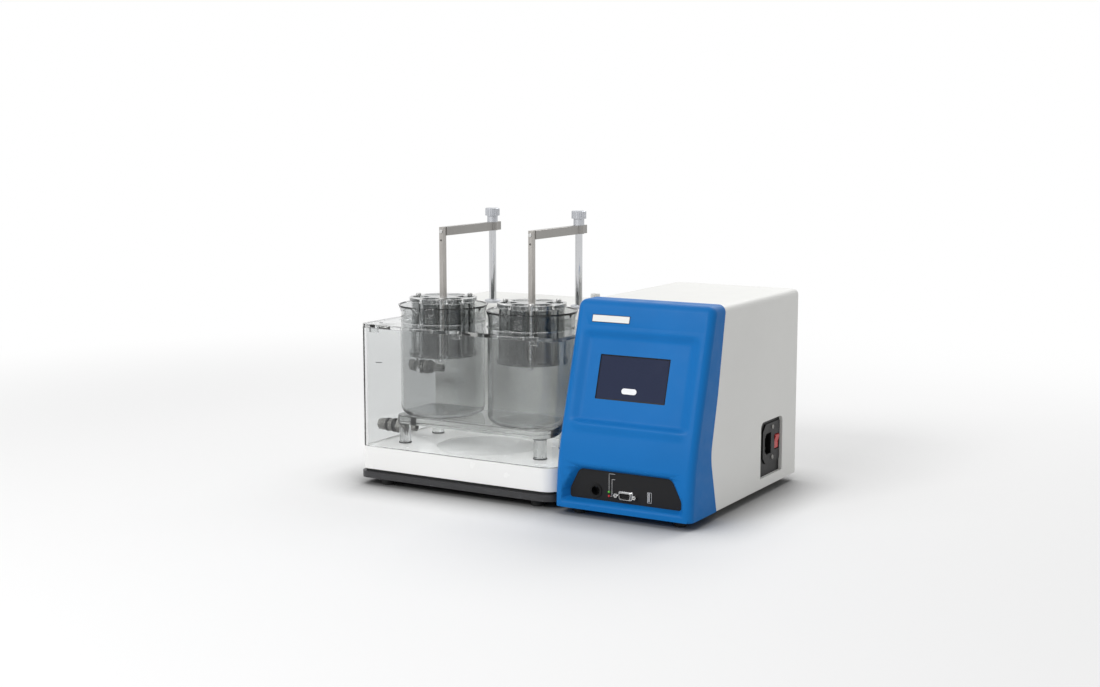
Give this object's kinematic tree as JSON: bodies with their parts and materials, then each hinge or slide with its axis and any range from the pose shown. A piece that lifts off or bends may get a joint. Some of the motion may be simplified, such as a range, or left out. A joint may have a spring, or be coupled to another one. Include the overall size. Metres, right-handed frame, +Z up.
{
  "type": "tablet disintegration tester",
  "caption": "Bench tablet disintegration tester: clear heated bath with beakers and tube baskets on lifting arms, drive housing behind, leaning control unit beside it.",
  "frame": {"origin": "middle of the footprint, on the bench", "axes": "+Z up, +X from the bath towards the control unit, -Y is the front"},
  "size_m": [0.516, 0.3446, 0.358],
  "materials": {
    "white_pan": "smooth gloss powder coat",
    "white_housing": "fine powder coat",
    "base_grey": "satin dark grey coat",
    "bezel_blue": "fine-grained moulded plastic",
    "black_plastic": "matt black moulded plastic",
    "panel_grey": "matt dark grey overlay",
    "screen": "dark glossy display",
    "clear_acrylic": "clear acrylic sheet, polished edges",
    "clear_glass": "clear laboratory glass",
    "black_rubber": "black rubber",
    "steel": "brushed stainless steel",
    "mesh_steel": "woven stainless wire",
    "chrome": "polished hard chrome",
    "satin_metal": "satin anodised",
    "plated_metal": "nickel plated",
    "heater_grey": "matt cast plate",
    "cast_grey": "die-cast",
    "red_plastic": "red moulded plastic",
    "lamp_plastic": "tinted lens",
    "board_green": "circuit board"
  },
  "bodies": {
    "base": {"back_cover": "white_housing", "base_pan": "white_pan", "base_plate": "base_grey", "bath_seals": "black_rubber", "bath_tank": "clear_acrylic", "cable_bushing": "black_rubber", "connector_panel": "panel_grey", "control_back_panel": "white_housing", "control_bezel": "bezel_blue", "control_case": "white_housing", "control_tray": "white_housing", "drive_frame": "satin_metal", "drive_housing": "white_housing", "fitting_seals": "black_rubber", "gear_motor": "cast_grey", "heater_plate": "heater_grey", "hose_fittings": "plated_metal", "housing_port_cap": "white_housing", "housing_ties": "plated_metal", "indicator_lamps": "lamp_plastic", "inlet_pins": "plated_metal", "leg_rings": "black_rubber", "main_board": "board_green", "moulded_sockets": "black_plastic", "platform_legs": "clear_acrylic", "platform_plate": "clear_acrylic", "power_entry_plate": "black_plastic", "power_module": "black_plastic", "power_supply": "steel", "ring_heater": "plated_metal", "rod_bushes": "satin_metal", "rubber_feet": "black_rubber", "serial_socket": "chrome", "shaft_bearing": "steel", "sheet_screws": "plated_metal", "touch_screen": "screen", "usb_socket": "chrome"},
    "carriage": {"drive_rods": "chrome", "crosshead": "satin_metal"},
    "crank": {"crank_disc": "satin_metal", "crank_shaft": "steel", "pin_roller": "steel"},
    "left_basket": {"left_basket_tubes": "clear_glass", "left_basket_plates": "clear_acrylic", "left_basket_mesh": "mesh_steel", "left_basket_fasteners": "plated_metal", "left_hanger_bar": "steel", "left_lift_arm": "steel"},
    "left_thumb_screw": {"left_knob": "satin_metal"},
    "left_vessel": {"left_beaker": "clear_glass"},
    "right_basket": {"right_basket_tubes": "clear_glass", "right_basket_plates": "clear_acrylic", "right_basket_mesh": "mesh_steel", "right_basket_fasteners": "plated_metal", "right_hanger_bar": "steel", "right_lift_arm": "steel"},
    "right_thumb_screw": {"right_knob": "satin_metal"},
    "right_vessel": {"right_beaker": "clear_glass"},
    "lid": {"tank_lid": "clear_acrylic"},
    "rocker": {"power_rocker": "red_plastic"}
  },
  "joints": [
    {"name": "basket_stroke", "type": "slide", "parent": "base", "child": "carriage", "axis": [0, 0, 1], "range_m": [-0.055, 0]},
    {"name": "crank_turn", "type": "hinge", "parent": "base", "child": "crank", "pos_m": [-0.08895, 0.0617, 0.1505], "axis": [0, 1, 0], "range_deg": [0, 180]},
    {"name": "left_arm_lift", "type": "slide", "parent": "carriage", "child": "left_basket", "axis": [0, 0, 1], "range_m": [0, 0.085]},
    {"name": "left_knob_turn", "type": "hinge", "parent": "left_basket", "child": "left_thumb_screw", "pos_m": [-0.15805, 0.0517, 0.3385], "axis": [0, 0, 1], "continuous": true},
    {"name": "left_beaker_lift", "type": "slide", "parent": "base", "child": "left_vessel", "axis": [0, 0, 1], "range_m": [0, 0.015]},
    {"name": "right_arm_lift", "type": "slide", "parent": "carriage", "child": "right_basket", "axis": [0, 0, 1], "range_m": [0, 0.085]},
    {"name": "right_knob_turn", "type": "hinge", "parent": "right_basket", "child": "right_thumb_screw", "pos_m": [-0.01985, 0.0517, 0.3385], "axis": [0, 0, 1], "continuous": true},
    {"name": "right_beaker_lift", "type": "slide", "parent": "base", "child": "right_vessel", "axis": [0, 0, 1], "range_m": [0, 0.015]},
    {"name": "lid_lift", "type": "slide", "parent": "base", "child": "lid", "axis": [0, 0, 1], "range_m": [0, 0.01]},
    {"name": "power_switch", "type": "hinge", "parent": "base", "child": "rocker", "pos_m": [0.25055, 0.0942, 0.063], "axis": [0, 1, 0], "range_deg": [-16, 0]}
  ],
  "couplings": [
    {"joint": "crank_turn", "follows": "basket_stroke", "rad_per_m": -57.12}
  ]
}
